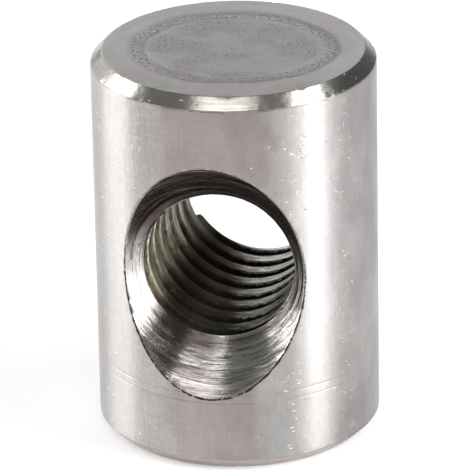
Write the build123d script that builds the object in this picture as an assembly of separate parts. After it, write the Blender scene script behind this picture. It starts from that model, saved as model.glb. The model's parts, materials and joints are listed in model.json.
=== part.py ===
from build123d import *
from build123d.topology import SkipClean
import os
from math import ceil, radians, tan

# Cross dowel nut (barrel nut): a plain turned barrel with a metric threaded hole straight through its side.
# The barrel stands on one end at the origin with its axis along +Z. The threaded hole runs along Y, and its
# deep countersink, where the screw goes in, faces -Y. All sizes are in millimetres and degrees.

# Barrel
barrel_diameter = 10.0
barrel_length = 14.0
end_chamfer = 0.4

# Threaded hole, M6 x 1, right hand, tapped in a drilled hole that is wide for its size
thread_diameter = 6.0
tapping_diameter = 5.3
thread_pitch = 1.0
thread_flank_angle = 60.0
thread_axis_height = 7.1
thread_start_angle = 288.0

# Countersinks. Each diameter is measured where the cone reaches the barrel's outermost line.
entry_diameter = 8.7
entry_angle = 90.0
exit_diameter = 6.4
exit_angle = 90.0

# How far the cutting tools run past what they cut, and how deep the thread's ridge is sunk in its core
tool_overrun = 1.0
ridge_overlap = 0.15

# Dependent sizes
barrel_radius = barrel_diameter / 2
tapping_radius = tapping_diameter / 2
root_radius = thread_diameter / 2
root_half_width = thread_pitch / 16
thread_length = 2 * (ceil(barrel_radius / thread_pitch) + 1) * thread_pitch
core_length = thread_length + 2 * thread_pitch

# The thread is cut in equal sectors, and the seams between them part the long ridge into short faces
thread_seams = (0, 120, 240)

# Local +Z of every cutter points to the entry side, -Y
hole_location = Location((0, 0, thread_axis_height), (90, 0, 0))


def barrel():
    """The turned barrel, with the same chamfer on both ends."""
    blank = Cylinder(barrel_radius, barrel_length, align=(Align.CENTER, Align.CENTER, Align.MIN))
    return chamfer(blank.edges().filter_by(GeomType.CIRCLE), end_chamfer)


def tap():
    """The threaded core: a cylinder of the tapping size with a flat-topped V ridge wound round it."""
    helix = Helix(thread_pitch, thread_length, tapping_radius)
    inner_radius = tapping_radius - ridge_overlap
    inner_half_width = root_half_width + (root_radius - inner_radius) * tan(radians(thread_flank_angle / 2))
    outline = Polyline(
        (inner_radius, -inner_half_width),
        (root_radius, -root_half_width),
        (root_radius, root_half_width),
        (inner_radius, inner_half_width),
        close=True,
    )
    ridge = sweep(make_face(Plane.XZ * outline), path=helix, is_frenet=True)
    ridge = Location((0, 0, -thread_length / 2), (0, 0, thread_start_angle)) * ridge
    return Cylinder(tapping_radius, core_length) + ridge


def countersink(diameter, angle):
    """A cone that opens along local +Z and has the given diameter at the barrel's outermost line."""
    slope = tan(radians(angle / 2))
    depth = diameter / 2 / slope
    cone = Cone(
        0,
        diameter / 2 + tool_overrun * slope,
        depth + tool_overrun,
        align=(Align.CENTER, Align.CENTER, Align.MIN),
    )
    return Pos(0, 0, barrel_radius - depth) * cone


def cross_dowel_nut():
    """The whole nut: the barrel, tapped and then countersunk from both sides."""
    core = tap()
    sector = Cylinder(
        root_radius + tool_overrun,
        core_length,
        arc_size=360 / len(thread_seams),
        align=(Align.NONE, Align.NONE, Align.CENTER),
    )
    nut = barrel()
    with SkipClean():
        for seam in thread_seams:
            nut = nut - hole_location * (core & Rot(0, 0, seam) * sector)
        nut = nut - hole_location * countersink(entry_diameter, entry_angle)
        nut = nut - hole_location * Rot(180, 0, 0) * countersink(exit_diameter, exit_angle)
    return nut


os.makedirs("parts", exist_ok=True)
export_step(cross_dowel_nut(), "parts/cross_dowel_nut.step")
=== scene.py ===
import bmesh
import bpy
import json
import numpy as np
from math import cos, pi, radians, sin, tan
from mathutils import Euler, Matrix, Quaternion, Vector


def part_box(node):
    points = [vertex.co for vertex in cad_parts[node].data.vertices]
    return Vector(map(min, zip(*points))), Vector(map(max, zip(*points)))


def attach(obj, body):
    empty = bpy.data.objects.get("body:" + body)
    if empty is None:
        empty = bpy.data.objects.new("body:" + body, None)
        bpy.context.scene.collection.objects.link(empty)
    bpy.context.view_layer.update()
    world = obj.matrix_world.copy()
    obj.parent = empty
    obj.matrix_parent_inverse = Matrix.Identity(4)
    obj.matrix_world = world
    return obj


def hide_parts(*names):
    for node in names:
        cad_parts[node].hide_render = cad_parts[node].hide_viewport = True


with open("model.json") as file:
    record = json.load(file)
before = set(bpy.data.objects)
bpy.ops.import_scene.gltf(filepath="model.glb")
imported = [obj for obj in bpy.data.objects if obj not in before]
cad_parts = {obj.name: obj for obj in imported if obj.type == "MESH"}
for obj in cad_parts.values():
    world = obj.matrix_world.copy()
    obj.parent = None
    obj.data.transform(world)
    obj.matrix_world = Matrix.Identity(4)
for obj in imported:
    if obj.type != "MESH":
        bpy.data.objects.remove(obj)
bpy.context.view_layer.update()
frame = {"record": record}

# All sizes below are in millimetres, apart from those that say otherwise
MM = 0.001

# The frame's own sizes
mounts = {mount["name"]: mount for mount in frame["record"]["mounts"]}
node_low, node_high = (np.array(corner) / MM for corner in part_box("cross_dowel_nut"))
barrel_radius = mounts["barrel"]["dims"]["r_mm"]
barrel_length = node_high[2] - node_low[2]
hole_height = mounts["thread"]["pos_m"][2] / MM
crest_radius = mounts["thread"]["dims"]["r_mm"]

# Thread M6 x 1, right hand: the crest's middle lies at thread_phase on the upward line of the hole
pitch = 1.0
root_radius = 3.0
root_flat = pitch / 8
thread_phase = 0.05

# Countersinks: a cone's radius at the barrel's outermost line
entry_radius = 4.35
exit_radius = 3.2

# Chamfers and broken edges
end_chamfer = 0.4
chamfer_break = 0.05
mouth_break = 0.04
crest_break = 0.04
edge_tear = 0.008
top_tear = 0.003
edge_nick = 0.018
root_break = 0.05

# How far a rounding reaches along each side of its corner, as a share of the break's size
thread_reach, chamfer_reach, mouth_reach = 0.58, 0.6, 0.7

# Points become one where they round to the same one of this many places to a millimetre
weld_places = 1e5

# Edges that turn further than this aren't shaded smooth
sharp_angle = radians(42)


class Shell:
    """Collects grids of points as quads, and joins points that coincide."""

    def __init__(self):
        self.points, self.faces, self.zones, self.count = [], [], [], 0

    def add(self, points, faces, zone):
        self.points.append(np.asarray(points, float).reshape(-1, 3))
        self.faces.append(np.asarray(faces, int) + self.count)
        self.zones.append(np.full(len(faces), zone))
        self.count += len(self.points[-1])

    def grid(self, points, zone, closed=True):
        """A grid of rows by columns, closed round its columns unless told otherwise."""
        rows, columns = points.shape[:2]
        index = np.arange(rows * columns).reshape(rows, columns)
        if closed:
            index = np.concatenate([index, index[:, :1]], 1)
        a, b = index[:-1, :-1], index[:-1, 1:]
        c, d = index[1:, 1:], index[1:, :-1]
        self.add(points, np.stack([a, b, c, d], -1).reshape(-1, 4), zone)

    def mesh(self, name):
        """The joined mesh in metres, with each face's zone as its material index."""
        points = np.concatenate(self.points)
        _, first, joined = np.unique(
            np.round(points * weld_places).astype(np.int64), axis=0, return_index=True, return_inverse=True
        )
        joined = joined.reshape(-1)
        faces, zones = [], []
        for face, zone in zip(joined[np.concatenate(self.faces)], np.concatenate(self.zones)):
            loop = [v for i, v in enumerate(face) if v != face[i - 1]]
            if len(set(loop)) == len(loop) >= 3:
                faces.append(loop)
                zones.append(zone)
        mesh = bpy.data.meshes.new(name)
        mesh.from_pydata(points[first] * MM, [], faces)
        mesh.polygons.foreach_set("material_index", np.array(zones, np.int32))
        form = bmesh.new()
        form.from_mesh(mesh)
        bmesh.ops.recalc_face_normals(form, faces=form.faces)
        form.to_mesh(mesh)
        form.free()
        mesh.shade_smooth()
        mesh.set_sharp_from_angle(angle=sharp_angle)
        return mesh


def arc(corner, before, after, reach, steps):
    """Points that round a corner, from reach before it to reach after it."""
    corner, before, after = (np.asarray(p, float) for p in (corner, before, after))
    start = corner + (before - corner) / np.linalg.norm(before - corner) * reach
    end = corner + (after - corner) / np.linalg.norm(after - corner) * reach
    t = np.linspace(0, 1, steps + 1)[:, None]
    return (1 - t) ** 2 * start + 2 * t * (1 - t) * corner + t**2 * end


# Zones of the surface, each with its own finish
BARREL, ENDS, CHAMFER, CONE, THREAD, EDGE = range(6)

# The mesh's columns and rows on the barrel. A patch round each mouth has patch_columns by patch_rows
# cells, and its outline has as many points as the hole has columns.
patch_angle = radians(52)
patch_half_height = 5.2
patch_columns, patch_rows, side_columns = 76, 96, 54
hole_columns = 2 * (patch_columns + patch_rows)
patch_rings = 14
mouth_rows, wall_rows, slope_rows, end_rows = 4, 13, 5, 15

# How the patches' rings crowd towards the mouths, and the ends' rings towards their edges
patch_crowding, end_crowding = 1.3, 0.8

# The search for a mouth: the nearest place along the hole, how far past the barrel it ends, and its steps
mouth_nearest, mouth_past, mouth_steps = 3.2, 0.001, 1800

# How often the search for a crease halves its range
crease_halvings = 24


def thread_profile():
    """One pitch of the thread as (distance from the crest's middle, radius), from crest to crest."""
    flank = (root_radius - crest_radius) * tan(radians(30))
    crest_edge = (pitch - root_flat) / 2 - flank
    root_edge = crest_edge + flank
    crest, root = (crest_edge, crest_radius), (root_edge, root_radius)
    half = [np.array([[0, crest_radius]])]
    half.append(arc(crest, (0, crest_radius), root, crest_break * thread_reach, 2))
    half.append((np.array([crest]) + np.array([root])) / 2)
    half.append(arc(root, crest, (pitch / 2, root_radius), root_break * thread_reach, 2))
    half.append(np.array([[pitch / 2, root_radius]]))
    half = np.concatenate(half)
    other = half[-2:0:-1].copy()
    other[:, 0] = pitch - other[:, 0]
    return np.concatenate([half, other])


profile = thread_profile()
rng = np.random.default_rng(7)


class Ripple:
    """A smooth random ripple along an angle, about -1 to 1. Whole waves close on themselves after a turn."""

    def __init__(self, lowest, highest, count, whole):
        self.waves = rng.uniform(lowest, highest, count)
        if whole:
            self.waves = np.round(self.waves)
        self.starts = rng.uniform(0, 2 * pi, count)

    def __call__(self, angle):
        angle = np.asarray(angle, float)
        total = sum(np.sin(wave * angle + start) for wave, start in zip(self.waves, self.starts))
        return total / np.sqrt(len(self.waves))


# How far the tap tore the crests' two edges and their tops, along the helix
torn_edges = {-1: Ripple(12, 55, 16, False), 1: Ripple(12, 55, 16, False)}
torn_top = Ripple(8, 40, 14, False)


def tear(helix, side):
    """How much wider than it should be the crest is on one side, in millimetres."""
    return edge_tear * np.where(side < 0, torn_edges[-1](helix), torn_edges[1](helix))


def thread_radius(y, phi):
    """The thread's radius at a place along the hole and an angle round it."""
    turn = (y - thread_phase) / pitch - phi / (2 * pi)
    crest = np.round(turn)
    off = (turn - crest) * pitch
    helix = 2 * pi * crest + phi
    near = np.maximum(np.abs(off) - tear(helix, off), 0)
    half = len(profile) // 2 + 1
    radius = np.interp(near, profile[:half, 0], profile[:half, 1])
    lost = top_tear * np.maximum(torn_top(helix), 0) * np.clip((crest_radius + 0.1 - radius) / 0.1, 0, 1)
    return radius + lost


def cone_radius(y):
    """The countersinks' radius, which is less than the thread's in the middle of the hole."""
    entry = -y - (barrel_radius - entry_radius)
    leaving = y - (barrel_radius - exit_radius)
    return np.maximum(entry, leaving)


def hole_radius(y, phi):
    return np.maximum(thread_radius(y, phi), cone_radius(y))


def hole_point(r, y, phi):
    return np.stack([r * np.sin(phi), y + 0 * r, hole_height + r * np.cos(phi)], -1)


def patch_outline():
    """The outline of a mouth's patch, clockwise from its top middle, as (angle round the barrel, height)."""
    across = np.linspace(-patch_angle, patch_angle, patch_columns + 1)
    up = np.linspace(-patch_half_height, patch_half_height, patch_rows + 1)
    top = [(a, patch_half_height) for a in across[:-1]]
    right = [(patch_angle, z) for z in up[::-1][:-1]]
    bottom = [(a, -patch_half_height) for a in across[::-1][:-1]]
    left = [(-patch_angle, z) for z in up[:-1]]
    outline = np.array(top + right + bottom + left)
    return np.roll(outline, -(patch_columns // 2), axis=0)


outline = patch_outline()
phi = np.unwrap(np.arctan2(outline[:, 0] / patch_angle, outline[:, 1] / patch_half_height))


def mouth(side):
    """The place along the hole, for each column, where the hole first meets the barrel. side is -1 or 1."""
    y = side * np.linspace(mouth_nearest, barrel_radius + mouth_past, mouth_steps)[:, None]
    gap = (hole_radius(y, phi[None]) * np.sin(phi)) ** 2 + y**2 - barrel_radius**2
    out = np.argmax(gap >= 0, axis=0)
    columns = np.arange(hole_columns)
    before, after = gap[out - 1, columns], gap[out, columns]
    share = before / (before - after)
    return y[out - 1, 0] + share * (y[out, 0] - y[out - 1, 0])


def barrel_point(angle, z, side):
    """A point on the barrel, angle from the middle of that side's mouth, towards +X."""
    return np.stack([barrel_radius * np.sin(angle), side * barrel_radius * np.cos(angle), z + 0 * angle], -1)


def snap_to_creases(y):
    """Moves a row of each column onto every place where a cone cuts the thread.

    Where a crease passes from one row to the next, both rows are moved, so that it isn't broken there.
    """
    gap = cone_radius(y) - thread_radius(y, phi[None])
    rows, columns = np.nonzero(np.sign(gap[:-1]) != np.sign(gap[1:]))
    creases = {}
    for row, column in zip(rows, columns):
        low, high = y[row, column], y[row + 1, column]
        sign = np.sign(gap[row, column])
        for _ in range(crease_halvings):
            middle = (low + high) / 2
            there = cone_radius(middle) - thread_radius(middle, phi[column])
            if np.sign(there) == sign:
                low = middle
            else:
                high = middle
        nearest = row if low - y[row, column] < y[row + 1, column] - low else row + 1
        creases[nearest, column] = (low, sign)
    for (row, column), (place, sign) in creases.items():
        y[row, column] = place
        for beside in (row - 1, row + 1):
            before = creases.get((beside, column - 1))
            if before is not None and before[1] == sign and (beside, column) not in creases:
                y[beside, column] = place
    return np.maximum.accumulate(y, axis=0)


def add_hole(shell):
    """The hole, in rows that follow the thread's helix, with a rounded edge and a patch at each mouth."""
    ends = {side: mouth(side) for side in (-1, 1)}
    turns = np.arange(-7, 7)  # enough for both mouths
    along = profile[:, 0] / pitch
    off = np.where(along > 0.5, along - 1, along)
    crest = turns[:, None] + (along > 0.5)[None]
    torn = np.sign(off) * ((np.abs(off) > 0) & (np.abs(off) < 0.5))
    crest, off = crest.reshape(-1, 1), np.tile(off, len(turns))[:, None]
    torn = np.tile(torn, len(turns))[:, None]
    y = thread_phase + pitch * (crest + phi[None] / (2 * pi) + off)
    y = y + torn * tear(2 * pi * crest + phi[None], torn)
    y = snap_to_creases(y)
    inner = {side: ends[side] - side * mouth_break * mouth_reach for side in ends}
    y = np.clip(y, inner[-1], inner[1])
    points = hole_point(hole_radius(y, phi[None]), y, phi[None])
    rows, columns = y.shape
    index = np.arange(rows * columns).reshape(rows, columns)
    step = len(profile)
    wrapped = np.concatenate([index[:-step], index[step:, :1]], 1)
    corners = (wrapped[:-1, :-1], wrapped[:-1, 1:], wrapped[1:, 1:], wrapped[1:, :-1])
    quads = np.stack(corners, -1).reshape(-1, 4)
    middle = y.reshape(-1)[quads].mean(1)
    around = phi[quads[:, 0] % columns] + pi / columns
    coned = cone_radius(middle) > thread_radius(middle, around) - 1e-3
    shell.add(points, quads[~coned], THREAD)
    shell.add(points, quads[coned], CONE)
    for side in (-1, 1):
        add_mouth(shell, side, ends[side], inner[side])


# The broken edge's unevenness: its ripple, the share of its width, and its least and greatest width
rim_nicks = Ripple(12, 80, 18, True)
rim_waver, rim_least, rim_most = 0.3, 0.4, 2


def add_mouth(shell, side, y, y_inner):
    """The mouth's broken edge, and the patch of barrel round it."""
    r = hole_radius(y, phi)
    edge = hole_point(r, y, phi)
    inside = hole_point(hole_radius(y_inner, phi), y_inner, phi)
    outer_r = r + mouth_break * np.clip(1 + rim_waver * rim_nicks(phi), rim_least, rim_most)
    x = outer_r * np.sin(phi)
    outside = np.stack([x, side * np.sqrt(barrel_radius**2 - x**2), hole_height + outer_r * np.cos(phi)], -1)
    t = np.linspace(0, 1, mouth_rows)[:, None, None]
    rounded = (1 - t) ** 2 * inside + 2 * t * (1 - t) * edge + t**2 * outside
    start = np.stack([np.arcsin(x / barrel_radius), outside[:, 2]], -1)
    end = np.stack([outline[:, 0], outline[:, 1] + hole_height], -1)
    t = (np.linspace(0, 1, patch_rings + 1) ** patch_crowding)[:, None, None]
    flat = start + (end - start) * t
    patch = barrel_point(flat[..., 0], flat[..., 1], side)
    order = slice(None) if side < 0 else slice(None, None, -1)
    shell.grid(rounded[:, order], EDGE)
    shell.grid(patch[:, order], BARREL)


def end_profile():
    """The chamfer's two rounded edges, from the barrel in to the end, as (radius, height)."""
    shoulder = (barrel_radius, barrel_length - end_chamfer)
    rim = (barrel_radius - end_chamfer, barrel_length)
    wall_foot = (barrel_radius, hole_height)
    centre = (0, barrel_length)
    rounded_shoulder = arc(shoulder, wall_foot, rim, chamfer_break * chamfer_reach, 4)
    rounded_rim = arc(rim, shoulder, centre, chamfer_break * chamfer_reach, 4)
    return rounded_shoulder, rounded_rim


edge_ripples = [[Ripple(8, 110, 22, True) for edge in range(2)] for end in range(2)]

# How near to a chamfer's edge nicks reach, and the ripple's level from which there is one
nick_reach, nick_level = 0.06, 0.3


def nicked(r, z, angle, ripples):
    """Moves points that lie near a chamfer's two edges a little into the metal, here and there."""
    rim_radius, shoulder_height = barrel_radius - end_chamfer, barrel_length - end_chamfer
    # Each edge's radius and height, and how much of a nick goes inward and down
    edges = ((barrel_radius, shoulder_height, 0.9, 0.4), (rim_radius, barrel_length, 0.4, 0.9))
    moved_r, moved_z = r, z
    for ripple, (edge_r, edge_z, inward, down) in zip(ripples, edges):
        share = np.exp(-((r - edge_r) ** 2 + (z - edge_z) ** 2) / nick_reach**2)
        depth = edge_nick * np.clip(ripple(angle) - nick_level, 0, 2) * share
        moved_r, moved_z = moved_r - inward * depth, moved_z - down * depth
    return moved_r, moved_z


def add_outside(shell):
    """The barrel between and beyond the patches, both chamfers and both ends."""
    across = np.linspace(-patch_angle, patch_angle, patch_columns + 1)
    side = np.linspace(patch_angle, pi - patch_angle, side_columns + 1)
    round_half = np.concatenate([across[:-1], side[:-1]])
    around = np.concatenate([round_half, round_half + pi])
    up = np.linspace(-patch_half_height, patch_half_height, patch_rows + 1) + hole_height
    for turn in (0, pi):
        angles = side + turn
        a, z = np.meshgrid(angles, up)
        shell.grid(barrel_point(a, z, -1), BARREL, closed=False)
    shoulder, rim = end_profile()
    for top, ripples in zip((True, False), edge_ripples):
        patch_edge = up[-1] if top else barrel_length - up[0]
        inward = rim[-1, 0] * (1 - np.linspace(0, 1, end_rows) ** end_crowding)
        slope = np.linspace(0, 1, slope_rows)[:, None]
        face = shoulder[-1] + (rim[0] - shoulder[-1]) * slope
        rings = (
            (BARREL, np.full(wall_rows, barrel_radius), np.linspace(patch_edge, shoulder[0, 1], wall_rows)),
            (CHAMFER, shoulder[:, 0], shoulder[:, 1]),
            (CHAMFER, face[:, 0], face[:, 1]),
            (CHAMFER, rim[:, 0], rim[:, 1]),
            (ENDS, inward, np.full(end_rows, barrel_length)),
        )
        for zone, r, z in rings:
            angle = around[None] + 0 * r[:, None]
            r, z = nicked(r[:, None] + 0 * angle, z[:, None] + 0 * angle, angle, ripples)
            z = z if top else barrel_length - z
            points = np.stack([r * np.sin(angle), -r * np.cos(angle), z], -1)
            shell.grid(points if top else points[:, ::-1], zone)


def link(thing):
    bpy.context.collection.objects.link(thing)
    return thing


class Graph:
    """Short calls that build the nodes of a material or a world."""

    def __init__(self, owner):
        owner.use_nodes = True
        self.nodes, self.links = owner.node_tree.nodes, owner.node_tree.links
        self.nodes.clear()

    def add(self, kind, **settings):
        node = self.nodes.new("ShaderNode" + kind)
        for name, value in settings.items():
            setattr(node, name, value)
        return node

    def put(self, value, socket):
        if isinstance(value, bpy.types.NodeSocket):
            self.links.new(value, socket)
        else:
            socket.default_value = value

    def math(self, operation, *values, clamp=False):
        node = self.add("Math", operation=operation, use_clamp=clamp)
        for value, socket in zip(values, node.inputs):
            self.put(value, socket)
        return node.outputs[0]

    def total(self, *values):
        result = values[0]
        for value in values[1:]:
            result = self.math("ADD", result, value)
        return result

    def times(self, first, second):
        return self.math("MULTIPLY", first, second)

    def gap(self, first, second):
        """How far apart two values are."""
        return self.math("ABSOLUTE", self.math("SUBTRACT", first, second))

    def sway(self, noise, reach):
        """The noise as a sway about zero, which covers that reach in all."""
        return self.times(self.math("SUBTRACT", noise, 0.5), reach)

    def vector(self, operation, *values):
        node = self.add("VectorMath", operation=operation)
        for value, socket in zip(values, node.inputs):
            self.put(value, socket)
        return node.outputs["Value" if operation in ("LENGTH", "DOT_PRODUCT") else "Vector"]

    def place(self):
        """The place on the nut in millimetres, from the middle of its foot."""
        return self.vector("MULTIPLY", self.add("TexCoord").outputs["Object"], (1 / MM, 1 / MM, 1 / MM))

    def parts(self, vector):
        return self.add_linked("SeparateXYZ", vector).outputs

    def joined(self, x, y, z):
        node = self.add("CombineXYZ")
        for value, socket in zip((x, y, z), node.inputs):
            self.put(value, socket)
        return node.outputs[0]

    def add_linked(self, kind, value):
        node = self.add(kind)
        self.put(value, node.inputs[0])
        return node

    def noise(self, place, stretch=(1, 1, 1), detail=2.0, roughness=0.5, offset=(0, 0, 0)):
        """Smooth noise from 0 to 1. stretch is its frequency along each axis, per millimetre."""
        node = self.add("TexNoise")
        scaled = self.vector("MULTIPLY", place, stretch)
        self.put(self.vector("ADD", scaled, offset), node.inputs["Vector"])
        node.inputs["Scale"].default_value = 1
        node.inputs["Detail"].default_value = detail
        node.inputs["Roughness"].default_value = roughness
        return node.outputs["Fac"]

    def cells(self, place, stretch=(1, 1, 1)):
        """Random spots: the distance to the nearest one, and its own random colour."""
        node = self.add("TexVoronoi")
        self.put(self.vector("MULTIPLY", place, stretch), node.inputs["Vector"])
        node.inputs["Scale"].default_value = 1
        return node.outputs["Distance"], node.outputs["Color"]

    def span(self, value, low, high, to_low=0.0, to_high=1.0):
        """Carries the value from low..high to to_low..to_high, smoothly and no further."""
        node = self.add("MapRange", interpolation_type="SMOOTHSTEP")
        for item, socket in zip((value, low, high, to_low, to_high), node.inputs):
            self.put(item, socket)
        return node.outputs[0]

    def mix(self, share, first, second):
        node = self.add("Mix", data_type="RGBA")
        self.put(share, node.inputs["Factor"])
        self.put((*first, 1) if isinstance(first, tuple) else first, node.inputs[6])
        self.put((*second, 1) if isinstance(second, tuple) else second, node.inputs[7])
        return node.outputs[2]

    def bump(self, height, depth, before=None):
        """Raises the surface by height, from 0 to 1, times depth in millimetres."""
        node = self.add("Bump")
        node.inputs["Strength"].default_value = 1
        node.inputs["Distance"].default_value = depth * MM
        self.put(height, node.inputs["Height"])
        if before is not None:
            self.put(before, node.inputs["Normal"])
        return node.outputs[0]

    def flecks(self, place, stretch, size, share):
        """Short thin marks on about that share of the cells, from 0 to 1. share may be a socket."""
        distance, colour = self.cells(place, stretch)
        chosen = self.math("LESS_THAN", self.parts(colour)[0], share)
        return self.math("MULTIPLY", self.span(distance, size, size * 0.4), chosen)


def turned(graph, place, direction):
    """A flat vector, turned so that its first axis runs along the direction, in degrees."""
    c, s = cos(radians(direction)), sin(radians(direction))
    along = graph.vector("DOT_PRODUCT", place, (c, s, 0))
    across = graph.vector("DOT_PRODUCT", place, (-s, c, 0))
    return graph.joined(along, across, 0.0)


def metal(name, anisotropy):
    """A bare metal shader with its graph."""
    material = bpy.data.materials.new(name)
    graph = Graph(material)
    shader = graph.add("BsdfPrincipled")
    shader.inputs["Metallic"].default_value = 1
    shader.inputs["Anisotropic"].default_value = anisotropy
    graph.links.new(shader.outputs["BSDF"], graph.add("OutputMaterial").inputs["Surface"])
    return material, graph, shader.inputs


def spread_from_axis(graph, place, inputs, axis, middle):
    """Sets the grain round an axis, so that reflections spread across it."""
    out = graph.vector("SUBTRACT", place, middle)
    around = graph.vector("NORMALIZE", graph.vector("CROSS_PRODUCT", axis, out))
    graph.put(around, inputs["Tangent"])
    inputs["Anisotropic Rotation"].default_value = 0.25


def turned_steel():
    """The barrel: a fine turned grain, soft mottling, small knocks, pits and two faint tool lines."""
    material, graph, inputs = metal("turned_steel", 0.95)
    plain = (0.475, 0.452, 0.442)
    cool = (0.45, 0.45, 0.44)
    pale = (0.61, 0.588, 0.577)
    painted_shade_grey = (0.395, 0.381, 0.378)
    reflection_pink = (0.5, 0.424, 0.405)
    shaded_reflection_pink = (0.345, 0.291, 0.278)
    foot_shadow_grey = (0.3, 0.29, 0.285)
    cloud_grey = (0.56, 0.54, 0.53)
    speckle_grey = (0.33, 0.31, 0.3)
    grain_grey = (0.3, 0.28, 0.27)
    brushed_grey = (0.34, 0.31, 0.3)
    shoulder_black = (0.08, 0.065, 0.055)
    knock_glint_white = (0.9, 0.89, 0.87)
    line_grey = (0.16, 0.14, 0.13)
    pit_black = (0.1, 0.09, 0.08)
    place = graph.place()
    x, y, z = graph.parts(place)
    around = graph.math("ARCTAN2", x, graph.times(y, -1.0))
    arc_length = graph.times(around, barrel_radius)
    flat = graph.joined(arc_length, z, 0.0)
    wander = graph.noise(place, (1.3, 1.3, 1.3), 3, 0.6)
    other = graph.noise(place, (1.1, 1.1, 1.1), 3, 0.6, offset=(7, 3, 1))
    wander = graph.vector("MULTIPLY", graph.joined(wander, other, 0.0), (0.5, 0.5, 0.0))
    bent = graph.vector("ADD", flat, wander)
    handled = handled_zones(graph, place, arc_length, z)
    # Each kind of knock: its direction in degrees, how close and thin it is, its size, and how often it comes
    marks = []
    for direction, stretch, size, share in (
        (62, (1.5, 10.0, 1), 0.2, 0.04),
        (-48, (2.2, 11.0, 1), 0.3, 0.08),
        (-24, (3.6, 12.0, 1), 0.3, 0.08),
        (14, (2.2, 14.0, 1), 0.3, 0.12),
        (-9, (1.8, 16.0, 1), 0.3, 0.12),
        (72, (4.6, 10.0, 1), 0.28, 0.08),
    ):
        chance = graph.times(handled, share)
        marks.append(graph.flecks(turned(graph, bent, direction), stretch, size, chance))
    knocks = graph.math("MINIMUM", graph.total(*marks), 1.0)
    pits = graph.total(
        graph.flecks(place, (1.3, 1.3, 1.3), 0.06, 0.35), graph.flecks(place, (2.9, 2.9, 2.9), 0.09, 0.12)
    )
    fading = graph.span(graph.noise(place, (0.5, 0.5, 0.5), 2), 0.35, 0.6, 0.2, 1.0)
    lines = graph.times(tool_lines(graph, z), fading)
    grain = graph.noise(place, (0.3, 0.3, 16), 3, 0.6)
    brushed = graph.noise(flat, (9, 0.35, 1), 3, 0.6)
    speckle = graph.noise(place, (7, 7, 5), 4, 0.65)
    cloud = graph.noise(place, (0.8, 0.8, 0.5), 4, 0.6, offset=(3, 8, 5))
    tint = graph.noise(place, (0.5, 0.5, 0.3), 4, 0.6, offset=(11, 2, 9))
    # Broad zones with wavering edges: a painted pinkish reflection in the middle, painted light at the left,
    # painted shade at the right and a painted shadow by its foot
    edge = graph.total(x, graph.sway(tint, 3.0))
    edge = graph.gap(edge, 0.3)
    warm = graph.span(edge, 2.2, 1.4)
    colour = graph.mix(graph.span(tint, 0.4, 0.6), plain, cool)
    # Painted light: the left side paler
    left = graph.times(graph.span(x, -0.8, -1.6), graph.span(x, -3.6, -2.4, 0.35, 1.0))
    colour = graph.mix(left, colour, pale)
    # Painted shade: the right side dimmer
    colour = graph.mix(graph.span(x, 2.2, 3.0), colour, painted_shade_grey)
    # A painted pinkish reflection in the middle, shaded towards the right
    reflection_tone = graph.mix(graph.span(x, -1.2, 1.6), reflection_pink, shaded_reflection_pink)
    colour = graph.mix(warm, colour, reflection_tone)
    # A painted shadow by the foot at the right: a darker reflection of the floor
    foot = graph.times(graph.span(z, 4.5, 1.5, 0.3, 0.78), graph.span(x, 3.95, 4.4))
    colour = graph.mix(foot, colour, foot_shadow_grey)
    # Mottling and marks
    colour = graph.mix(graph.span(cloud, 0.3, 0.75, 0.0, 0.4), colour, cloud_grey)
    colour = graph.mix(graph.span(speckle, 0.35, 0.7, 0.0, 0.3), colour, speckle_grey)
    colour = graph.mix(graph.span(grain, 0.35, 0.7, 0.0, 0.15), colour, grain_grey)
    colour = graph.mix(graph.span(brushed, 0.4, 0.7, 0.0, 0.18), colour, brushed_grey)
    # A dark line beside each chamfer, broken here and there
    broken = graph.span(graph.noise(place, (1.4, 1.4, 1.4), 3, 0.7), 0.42, 0.54)
    shoulder = graph.times(shoulder_line(graph, z), broken)
    colour = graph.mix(graph.times(shoulder, 0.85), colour, shoulder_black)
    # Knocks, lightened: partly real marks, partly painted glints
    colour = graph.mix(graph.times(knocks, 0.38), colour, knock_glint_white)
    colour = graph.mix(graph.times(lines, 0.12), colour, line_grey)
    colour = graph.mix(graph.math("MINIMUM", pits, 0.75), colour, pit_black)
    graph.put(colour, inputs["Base Color"])
    rough = graph.span(cloud, 0.25, 0.75, 0.39, 0.33)
    rough = graph.math("SUBTRACT", rough, graph.times(knocks, 0.12))
    graph.put(rough, inputs["Roughness"])
    normal = graph.bump(grain, 0.0018)
    normal = graph.bump(speckle, 0.006, normal)
    normal = graph.bump(graph.noise(place, (2.2, 2.2, 1.2), 2), 0.006, normal)
    normal = graph.bump(knocks, 0.009, normal)
    normal = graph.bump(lines, -0.009, normal)
    normal = graph.bump(pits, -0.008, normal)
    graph.put(normal, inputs["Normal"])
    spread_from_axis(graph, place, inputs, (0, 0, 1), (0, 0, 0))
    return material


def shoulder_line(graph, z):
    """A thin line on the barrel beside each chamfer, faint by the foot."""
    from_middle = graph.gap(z, barrel_length / 2)
    from_shoulder = graph.math("SUBTRACT", from_middle, barrel_length / 2 - end_chamfer - 0.02)
    line = graph.span(graph.math("ABSOLUTE", from_shoulder), 0.055, 0.02)
    return graph.times(line, graph.span(z, 1.0, 2.0, 0.25, 1.0))


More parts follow.
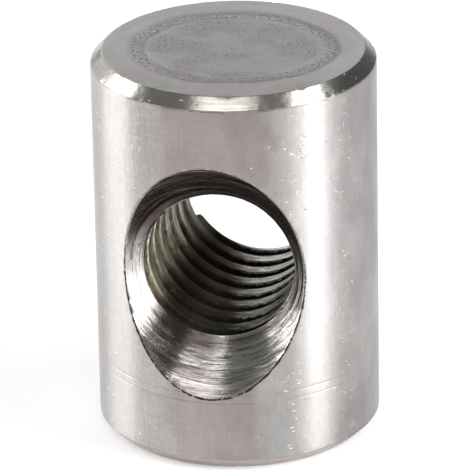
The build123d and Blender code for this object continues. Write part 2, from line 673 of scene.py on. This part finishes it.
def handled_zones(graph, place, arc_length, z):
    """Where the barrel was knocked most: upright bands beside the mouths, and patches by its foot."""
    bands = []
    # Each band's middle and reach, in degrees round the barrel
    for middle, reach in ((33, 4), (36, 7), (57, 6), (61, 10), (-31, 5), (-56, 7), (140, 12), (-140, 12)):
        off = graph.gap(arc_length, radians(middle) * barrel_radius)
        bands.append(graph.span(off, radians(reach) * barrel_radius, 0.0))
    near_foot = graph.span(z, 3.6, 1.6)
    side = graph.gap(arc_length, radians(50) * barrel_radius)
    bands.append(graph.times(near_foot, graph.span(side, 2.0, 0.8, 0.0, 0.6)))
    uneven = graph.span(graph.noise(place, (0.7, 0.7, 0.5), 3, 0.6, offset=(6, 6, 2)), 0.35, 0.62, 0.15, 1.5)
    handled = graph.math("MINIMUM", graph.total(*bands), 1.3)
    return graph.times(graph.total(handled, 0.06), uneven)


def tool_lines(graph, z):
    """Two faint lines that a tool left round the barrel, below the hole."""
    lines = []
    # Each line's height above the foot, and its width
    for height, width in ((2.64, 0.05), (2.95, 0.07)):
        off = graph.gap(z, height)
        lines.append(graph.span(off, width, 0.0))
    return graph.total(*lines)


def faced_steel():
    """The ends: satin, with a pitted ring that is a little oval, and rough patches inside it."""
    material, graph, inputs = metal("faced_steel", 0.0)
    dull = (0.385, 0.372, 0.37)
    bright = (0.445, 0.436, 0.43)
    middle_grey = (0.37, 0.36, 0.36)
    warm_grey = (0.4, 0.375, 0.37)
    pit_shade_grey = (0.12, 0.112, 0.112)
    glint = (0.72, 0.71, 0.7)
    ring_and_shade_grey = (0.2, 0.19, 0.185)
    front_shade_grey = (0.25, 0.23, 0.222)
    place = graph.place()
    x, y, _ = graph.parts(place)
    radius = graph.vector("LENGTH", graph.joined(x, graph.times(y, 1.1), 0.0))
    waver = graph.sway(graph.noise(place, (0.5, 0.5, 0.5), 3), 0.5)
    radius = graph.total(radius, waver)
    ring = graph.span(graph.gap(radius, 3.42), 0.42, 0.1)
    coarse = graph.noise(place, (9, 8, 8), 3, 0.75)
    fine = graph.noise(place, (16, 16, 16), 2, 0.6)
    soft = graph.noise(place, (0.55, 0.7, 0.6), 4, 0.55, offset=(8, 2, 5))
    swirl = graph.noise(graph.joined(radius, x, y), (1.3, 0.5, 0.5), 4, 0.6)
    patch = graph.times(graph.span(soft, 0.4, 0.62, 0.12, 0.6), graph.span(radius, 3.15, 2.75))
    rough_zone = graph.math("MAXIMUM", ring, patch)
    colour = graph.mix(graph.span(swirl, 0.35, 0.65), dull, bright)
    colour = graph.mix(graph.span(radius, 3.2, 2.6), colour, middle_grey)
    colour = graph.mix(graph.span(soft, 0.35, 0.65, 0.0, 0.5), colour, warm_grey)
    # Dark pits and light specks on the rough ring and patches: painted shade and painted highlights of their
    # relief, with real pits among them
    dark = graph.times(graph.span(coarse, 0.5, 0.38), graph.times(rough_zone, 0.9))
    light = graph.times(graph.span(coarse, 0.57, 0.66), graph.times(rough_zone, 0.8))
    colour = graph.mix(dark, colour, pit_shade_grey)
    colour = graph.mix(light, colour, glint)
    colour = graph.mix(graph.times(ring, 0.12), colour, ring_and_shade_grey)
    # A dark arc at the back and a duller front, both painted shade
    back_shade = graph.span(graph.gap(radius, 3.7), 0.35, 0.05)
    back_shade = graph.times(back_shade, graph.span(y, 0.8, 2.6, 0.0, 0.35))
    colour = graph.mix(back_shade, colour, ring_and_shade_grey)
    front = graph.total(graph.times(ring, 0.25), 0.3)
    colour = graph.mix(graph.times(front, graph.span(y, -1.8, -3.4)), colour, front_shade_grey)
    graph.put(colour, inputs["Base Color"])
    graph.put(graph.span(coarse, 0.2, 0.8, 0.5, 0.38), inputs["Roughness"])
    normal = graph.bump(graph.times(coarse, graph.total(rough_zone, 0.06)), 0.13)
    normal = graph.bump(fine, 0.005, normal)
    normal = graph.bump(swirl, 0.014, normal)
    graph.put(normal, inputs["Normal"])
    return material


def chamfer_steel():
    """The chamfers: smooth, with fine lines round them and a few nicks."""
    material, graph, inputs = metal("chamfer_steel", 0.7)
    olive_grey = (0.44, 0.425, 0.385)
    pale = (0.53, 0.515, 0.475)
    lower_shade_grey = (0.43, 0.375, 0.355)
    dark_reflection_blue = (0.12, 0.123, 0.13)
    nick_white = (0.75, 0.73, 0.7)
    place = graph.place()
    grain = graph.noise(place, (0.8, 0.8, 14), 3, 0.6)
    wave = graph.noise(place, (1.1, 1.1, 0.5), 3, 0.6)
    nick = graph.flecks(place, (3.5, 3.5, 6), 0.22, 0.12)
    colour = graph.mix(graph.span(grain, 0.3, 0.7), olive_grey, pale)
    x, y, z = graph.parts(place)
    # The lower chamfer darker and a little pinker: painted shade
    low = graph.span(z, 1.0, 0.8)
    colour = graph.mix(low, colour, lower_shade_grey)
    # A painted dark reflection, bluish black, on the right end
    right_end_reflection = graph.times(graph.span(x, 3.7, 4.4, 0.0, 0.65), graph.span(y, 3.0, 1.5))
    colour = graph.mix(right_end_reflection, colour, dark_reflection_blue)
    colour = graph.mix(nick, colour, nick_white)
    graph.put(colour, inputs["Base Color"])
    graph.put(graph.span(grain, 0.2, 0.8, 0.3, 0.22), inputs["Roughness"])
    normal = graph.bump(wave, 0.014)
    normal = graph.bump(grain, 0.0025, normal)
    normal = graph.bump(nick, 0.01, normal)
    graph.put(normal, inputs["Normal"])
    spread_from_axis(graph, place, inputs, (0, 0, 1), (0, 0, 0))
    return material


def hole_places(graph):
    """The place, the distance from the hole's axis, a vector for rings round it and the height over it."""
    place = graph.place()
    out = graph.vector("SUBTRACT", place, (0, 0, hole_height))
    x, _, z = graph.parts(out)
    radius = graph.vector("LENGTH", graph.joined(x, 0.0, z))
    return place, radius, graph.joined(radius, x, z), z


def countersunk_steel():
    """The countersinks: long rings left by the tool, torn here and there, with bright and dark streaks."""
    material, graph, inputs = metal("countersunk_steel", 0.72)
    warm = (0.46, 0.415, 0.4)
    cool = (0.48, 0.48, 0.452)
    streak_white = (0.72, 0.7, 0.67)
    broad_brown = (0.22, 0.19, 0.175)
    streak_black = (0.1, 0.085, 0.075)
    torn_black = (0.13, 0.11, 0.095)
    torn_white = (0.88, 0.87, 0.84)
    grit_grey = (0.2, 0.18, 0.16)
    shade_brown = (0.19, 0.147, 0.135)
    inner_shade_black = (0.09, 0.07, 0.062)
    stain_black = (0.055, 0.047, 0.04)
    blotch_brown = (0.12, 0.1, 0.09)
    step_white = (0.62, 0.6, 0.58)
    burr_white = (0.86, 0.83, 0.78)
    place, radius, rings, height = hole_places(graph)
    broad = graph.noise(rings, (3.2, 0.16, 0.16), 4, 0.62)
    narrow = graph.noise(rings, (11, 0.25, 0.25), 3, 0.65, offset=(4, 1, 6))
    torn = graph.noise(rings, (8, 0.9, 0.9), 4, 0.7, offset=(9, 5, 2))
    stain = graph.noise(place, (0.7, 0.7, 0.7), 4, 0.6, offset=(2, 4, 13))
    grit = graph.noise(place, (11, 11, 11), 3, 0.7)
    colour = graph.mix(graph.span(stain, 0.42, 0.58), warm, cool)
    x, y, _ = graph.parts(place)
    # Streaks and tears, which are faint at the left
    scored = graph.span(x, -1.7, -2.6, 1.0, 0.15)
    colour = graph.mix(graph.span(narrow, 0.5, 0.68, 0.0, 0.8), colour, streak_white)
    share = graph.times(graph.span(broad, 0.5, 0.38, 0.0, 0.6), scored)
    colour = graph.mix(share, colour, broad_brown)
    share = graph.times(graph.span(narrow, 0.43, 0.35, 0.0, 0.85), scored)
    colour = graph.mix(share, colour, streak_black)
    share = graph.times(graph.span(torn, 0.55, 0.65, 0.0, 0.7), scored)
    colour = graph.mix(share, colour, torn_black)
    colour = graph.mix(graph.span(torn, 0.4, 0.31, 0.0, 0.8), colour, torn_white)
    colour = graph.mix(graph.span(grit, 0.55, 0.7, 0.0, 0.35), colour, grit_grey)
    # Painted shade over the hole, darkest at its upper left by the thread, and stains below it
    shade_over_hole = graph.span(graph.total(height, graph.times(stain, 1.5)), 1.1, 2.8, 0.0, 0.9)
    colour = graph.mix(shade_over_hole, colour, shade_brown)
    # Painted shade at the upper left, by the thread
    inner_shade = graph.times(graph.span(radius, 3.9, 3.4), graph.span(height, 0.6, 1.6))
    inner_shade = graph.times(inner_shade, graph.span(x, -0.8, -1.8, 0.0, 0.8))
    colour = graph.mix(inner_shade, colour, inner_shade_black)
    stained = graph.total(radius, graph.sway(torn, 1.6))
    stained = graph.times(graph.span(stained, 3.6, 2.95), graph.span(height, -0.6, -1.4))
    from_stain = graph.math("ABSOLUTE", graph.total(x, 1.1))
    stained = graph.times(stained, graph.span(from_stain, 1.5, 0.7, 0.0, 0.9))
    colour = graph.mix(stained, colour, stain_black)
    blotch = graph.times(graph.span(from_stain, 1.3, 0.5), graph.span(stain, 0.42, 0.56))
    blotch = graph.times(blotch, graph.span(height, -1.6, -2.4, 0.0, 0.65))
    colour = graph.mix(blotch, colour, blotch_brown)
    # Thin bright steps round the hole, each with its radius and width
    steps = []
    for ring, width in ((2.78, 0.02), (2.9, 0.015), (3.02, 0.025), (3.16, 0.018)):
        off = graph.gap(radius, ring)
        steps.append(graph.span(off, width, 0.0))
    steps = graph.times(graph.total(*steps), graph.span(height, 1.6, -0.4))
    left = graph.math("MAXIMUM", graph.times(x, -1.0), 0.0)
    off_centre = graph.total(graph.times(left, 0.13), 3.1)
    off = graph.gap(radius, off_centre)
    upper = graph.times(graph.span(off, 0.045, 0.0), graph.span(height, 0.8, 2.0, 0.0, 0.5))
    steps = graph.times(graph.total(steps, upper), graph.span(torn, 0.3, 0.6, 0.9, 0.3))
    steps = graph.times(steps, graph.span(height, -1.8, -0.6))
    colour = graph.mix(steps, colour, step_white)
    # A bright burr along the mouth's lower right
    out = graph.vector("LENGTH", graph.joined(x, y, 0.0))
    burr = graph.span(out, barrel_radius - 0.13, barrel_radius - 0.05)
    burr = graph.times(burr, graph.span(x, 0.3, 1.2))
    burr = graph.times(burr, graph.span(height, 0.4, -0.6))
    burr = graph.times(burr, graph.span(torn, 0.3, 0.5, 0.2, 0.9))
    colour = graph.mix(burr, colour, burr_white)
    graph.put(colour, inputs["Base Color"])
    graph.put(graph.span(narrow, 0.2, 0.8, 0.25, 0.17), inputs["Roughness"])
    depth = graph.span(x, -1.7, -2.6, 1.0, 0.4)
    normal = graph.bump(graph.times(broad, depth), 0.075)
    normal = graph.bump(graph.times(narrow, depth), 0.012, normal)
    normal = graph.bump(graph.times(torn, depth), 0.016, normal)
    normal = graph.bump(grit, 0.003, normal)
    graph.put(normal, inputs["Normal"])
    spread_from_axis(graph, place, inputs, (0, 1, 0), (0, 0, hole_height))
    return material


def along_helix(graph, x, y, height):
    """Turns along the thread, which are whole at a crest's middle, with their jump at the hole's top."""
    around = graph.math("ARCTAN2", graph.times(x, -1.0), graph.times(height, -1.0))
    turn = graph.math("SUBTRACT", graph.math("DIVIDE", y, pitch), graph.math("DIVIDE", around, 2 * pi))
    return graph.math("SUBTRACT", turn, thread_phase / pitch + 0.5)


def tapped_steel():
    """The thread: dark and oily, olive and brown at one side, with bare, torn crests at the other."""
    material, graph, inputs = metal("tapped_steel", 0.5)
    olive_dark = (0.115, 0.114, 0.074)
    olive_pale = (0.5, 0.455, 0.34)
    glint_gold = (0.9, 0.8, 0.45)
    groove_brown = (0.03, 0.023, 0.018)
    groove_green = (0.018, 0.021, 0.017)
    oil_brown = (0.13, 0.066, 0.036)
    worn_brown = (0.06, 0.046, 0.033)
    worn_green = (0.044, 0.044, 0.036)
    crest_brown = (0.17, 0.088, 0.048)
    bare_dark = (0.22, 0.21, 0.2)
    bare_bright = (0.78, 0.76, 0.74)
    lip_highlight_white = (0.95, 0.93, 0.85)
    entry_pale = (0.46, 0.42, 0.4)
    entry_shade = (0.11, 0.08, 0.073)
    breakout_grey = (0.36, 0.34, 0.32)
    place, radius, _, height = hole_places(graph)
    x, y, _ = graph.parts(place)
    turn = along_helix(graph, x, y, height)
    off = graph.math("SUBTRACT", graph.math("FRACT", graph.total(turn, 0.5)), 0.5)
    helix = graph.joined(turn, x, height)
    ragged = graph.noise(helix, (7, 5, 5), 3, 0.6, offset=(1, 9, 4))
    ragged = graph.total(radius, graph.sway(ragged, 0.16))
    crest = graph.span(ragged, crest_radius + 0.08, crest_radius + 0.04)
    torn = graph.noise(helix, (16, 2, 2), 4, 0.7)
    fine = graph.noise(place, (14, 14, 14), 2, 0.6)
    film = graph.noise(place, (0.55, 0.55, 0.55), 3, 0.55, offset=(5, 1, 3))
    # How bare the crests are, from the oily left to the right
    side = graph.total(x, graph.times(y, 0.2))
    side = graph.total(side, graph.sway(torn, 2.4))
    side = graph.span(side, -0.4, 1.3)
    upper_left = graph.times(graph.span(x, -0.4, -1.4), graph.span(height, -1.6, 0.2))
    # A brown film left of the middle, and an olive one with painted gold glints further left
    brown = graph.span(graph.math("ABSOLUTE", graph.total(x, 1.4)), 1.1, 0.3)
    brown = graph.times(brown, graph.span(height, -2.2, -0.4, 0.2, 0.9))
    brown = graph.times(brown, graph.span(height, 1.7, 0.9))
    filmed = graph.times(graph.span(x, -1.4, -2.2), graph.span(height, -2.1, -1.0))
    blotch = graph.noise(helix, (2.5, 1.1, 1.1), 4, 0.6, offset=(1, 2, 8))
    tinted = graph.mix(graph.span(blotch, 0.36, 0.6), olive_dark, olive_pale)
    # Painted gold glints
    gold_glint = graph.span(graph.noise(place, (3.2, 3.2, 3.2), 3, 0.6, offset=(9, 3, 2)), 0.57, 0.7, 0.0, 0.8)
    tinted = graph.mix(gold_glint, tinted, glint_gold)
    groove = graph.mix(graph.span(film, 0.4, 0.55), groove_brown, groove_green)
    groove = graph.mix(brown, groove, oil_brown)
    groove = graph.mix(graph.times(filmed, 0.65), groove, tinted)
    worn = graph.mix(graph.span(film, 0.4, 0.6), worn_brown, worn_green)
    worn = graph.mix(brown, worn, crest_brown)
    worn = graph.mix(filmed, worn, tinted)
    bare = graph.mix(graph.span(torn, 0.35, 0.6), bare_dark, bare_bright)
    top = graph.mix(side, worn, bare)
    # A bright lip along each crest: a burnished edge, partly a painted highlight
    lip_highlight = graph.span(graph.math("ABSOLUTE", graph.total(off, 0.2)), 0.075, 0.04)
    lip_highlight = graph.times(lip_highlight, graph.span(torn, 0.66, 0.46, 0.2, 1.0))
    lip_highlight = graph.times(lip_highlight, graph.math("MAXIMUM", upper_left, graph.times(side, 0.5)))
    top = graph.mix(lip_highlight, top, lip_highlight_white)
    colour = graph.mix(crest, groove, top)
    # Where the thread runs out at each mouth
    # At the entry, darker higher up: painted shade like the countersink's
    entry_end = graph.mix(graph.span(height, 0.4, 2.0), entry_pale, entry_shade)
    entry = graph.times(graph.span(y, -3.2, -3.5), graph.span(height, -0.8, 0.2))
    colour = graph.mix(entry, colour, entry_end)
    beside = graph.span(graph.math("ABSOLUTE", x), 1.6, 2.3)
    breakout = graph.times(graph.span(y, 3.2, 3.7, 0.0, 0.8), beside)
    colour = graph.mix(breakout, colour, breakout_grey)
    graph.put(colour, inputs["Base Color"])
    bright = graph.times(crest, graph.math("MAXIMUM", side, lip_highlight))
    rough = graph.span(torn, 0.3, 0.7, 0.34, 0.2)
    rough = graph.total(rough, graph.times(graph.math("SUBTRACT", 1.0, bright), 0.22))
    graph.put(rough, inputs["Roughness"])
    inputs["Specular Tint"].default_value = (0.6, 0.6, 0.6, 1)
    normal = graph.bump(torn, 0.02)
    normal = graph.bump(fine, 0.004, normal)
    graph.put(normal, inputs["Normal"])
    spread_from_axis(graph, place, inputs, (0, 1, 0), (0, 0, hole_height))
    return material


def edge_steel():
    """The mouths' broken edges: bare at the back, and dark with bright nicks at the screw's side."""
    material, graph, inputs = metal("edge_steel", 0.0)
    bare = (0.5, 0.48, 0.46)
    edge_dark = (0.07, 0.05, 0.04)
    _, y, z = graph.parts(graph.place())
    burr = graph.noise(graph.place(), (7, 7, 7), 3, 0.65)
    # Dark at the front, most towards the bottom, broken by bare nicks
    low = graph.span(z, hole_height + 1.5, hole_height - 0.5, 0.5, 1.0)
    front = graph.span(y, 0.0, -1.0, 0.25, 1.0)
    dark = graph.times(graph.span(burr, 0.66, 0.5), graph.times(low, front))
    graph.put(graph.mix(dark, bare, edge_dark), inputs["Base Color"])
    inputs["Roughness"].default_value = 0.35
    graph.put(graph.bump(burr, 0.02), inputs["Normal"])
    return material


def build_nut():
    shell = Shell()
    add_hole(shell)
    add_outside(shell)
    mesh = shell.mesh("nut_body")
    body = link(bpy.data.objects.new("nut_body", mesh))
    for finish in (turned_steel, faced_steel, chamfer_steel, countersunk_steel, tapped_steel, edge_steel):
        mesh.materials.append(finish())
    body.modifiers.new("weighted", "WEIGHTED_NORMAL").keep_sharp = True
    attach(body, "root")
    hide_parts("cross_dowel_nut")


def build_floor():
    """A plain white floor, white to the camera and in reflections too, which keeps the nut's shadow."""
    mesh = bpy.data.meshes.new("floor")
    reach = floor_reach
    corners = [(-reach, -reach, 0), (reach, -reach, 0), (reach, reach, 0), (-reach, reach, 0)]
    mesh.from_pydata(corners, [], [(0, 1, 2, 3)])
    material = bpy.data.materials.new("floor")
    graph = Graph(material)
    diffuse = graph.add("BsdfDiffuse")
    diffuse.inputs["Color"].default_value = floor_colour
    path = graph.add("LightPath").outputs
    seen = graph.math("MAXIMUM", path["Is Camera Ray"], path["Is Glossy Ray"])
    seen = graph.math("MAXIMUM", seen, path["Is Transmission Ray"])
    glow = graph.add("Emission")
    graph.put(graph.times(seen, floor_glow), glow.inputs["Strength"])
    total = graph.add("AddShader")
    graph.links.new(diffuse.outputs[0], total.inputs[0])
    graph.links.new(glow.outputs[0], total.inputs[1])
    graph.links.new(total.outputs[0], graph.add("OutputMaterial").inputs["Surface"])
    mesh.materials.append(material)
    link(bpy.data.objects.new("floor", mesh))


def build_world():
    """A plain grey room."""
    world = bpy.data.worlds.new("studio")
    bpy.context.scene.world = world
    graph = Graph(world)
    room = graph.add("Background")
    room.inputs["Color"].default_value = (1, 1, 1, 1)
    room.inputs["Strength"].default_value = room_level
    graph.links.new(room.outputs[0], graph.add("OutputWorld").inputs["Surface"])


# The camera's place, from the nut's middle: angles in degrees, lengths in millimetres
view_turn, view_elevation, view_roll = 11.94, 23.34, -1.09
view_distance, view_right, view_up = 181.3, -0.061, -0.113
lens = 392.5

# The lamps: azimuth from the camera's side, elevation, width and height in degrees, and radiance. They stand
# lamp_distance metres from the nut's middle.
lamps = (
    ("lamp_right", 66, 18, 19, 40, 4.2),
    ("lamp_right_near", 49.5, 26, 9, 18, 2.3),
    ("lamp_right_high", 81, 50.5, 24, 12, 6.5),
    ("lamp_left", -108, 13, 32, 30, 5.7),
    ("lamp_left_high", -118, 36, 26, 13, 4.2),
    ("lamp_left_far", -141, 14, 22, 22, 0.7),
    ("lamp_top", -12.5, 60, 33, 30, 2.4),
    ("lamp_back", 180, 27, 50, 40, 0.85),
)
lamp_distance = 0.3

# The room's and the floor's own light, and the floor's colour and half width in metres
room_level = 0.216
floor_glow = 0.39
floor_colour = (0.8, 0.8, 0.8, 1)
floor_reach = 0.6

# A low strip at the right, which lights the floor under it: azimuth, height, nearest and furthest reach,
# width and radiance
strip_azimuth, strip_height, strip_near, strip_far, strip_width, strip_radiance = 61, 15, 22, 140, 18, 6.0


def build_lamp(name, place, turning, width, height, radiance):
    """A soft rectangular lamp. Sizes are in metres."""
    light = bpy.data.lights.new(name, "AREA")
    light.shape = "RECTANGLE"
    light.size, light.size_y = width, height
    light.energy = radiance * pi * width * height
    lamp = link(bpy.data.objects.new(name, light))
    lamp.location = place
    lamp.rotation_euler = turning


def build_lamps():
    """The soft lamps that face the nut's middle, and the low strip that faces the floor."""
    for name, azimuth, elevation, wide, high, radiance in lamps:
        width, height = (2 * lamp_distance * tan(radians(angle / 2)) for angle in (wide, high))
        t, e = radians(view_turn + azimuth), radians(elevation)
        away = Vector((sin(t) * cos(e), -cos(t) * cos(e), sin(e)))
        place = Vector((0, 0, barrel_length / 2 * MM)) + away * lamp_distance
        build_lamp(name, place, away.to_track_quat("Z", "Y").to_euler(), width, height, radiance)
    t = radians(view_turn + strip_azimuth)
    reach = (strip_near + strip_far) / 2
    place = Vector((sin(t) * reach, -cos(t) * reach, strip_height)) * MM
    length = (strip_far - strip_near) * MM
    build_lamp("lamp_strip", place, Euler((0, 0, t)), strip_width * MM, length, strip_radiance)


def build_camera():
    camera = link(bpy.data.objects.new("camera", bpy.data.cameras.new("camera")))
    camera.data.lens = lens
    camera.data.clip_start = 0.01
    t, e = radians(view_turn), radians(view_elevation)
    back = Vector((sin(t) * cos(e), -cos(t) * cos(e), sin(e)))
    right = Vector((cos(t), sin(t), 0))
    up = back.cross(right)
    middle = Vector((0, 0, barrel_length / 2))
    place = middle + back * view_distance
    aim = middle + right * view_right + up * view_up
    direction = place - aim
    aimed = direction.to_track_quat("Z", "Y") @ Quaternion((0, 0, 1), radians(view_roll))
    camera.location = place * MM
    camera.rotation_euler = aimed.to_euler()
    bpy.context.scene.camera = camera


build_nut()
build_floor()
build_world()
build_lamps()
build_camera()
bpy.context.scene.view_settings.view_transform = "Standard"
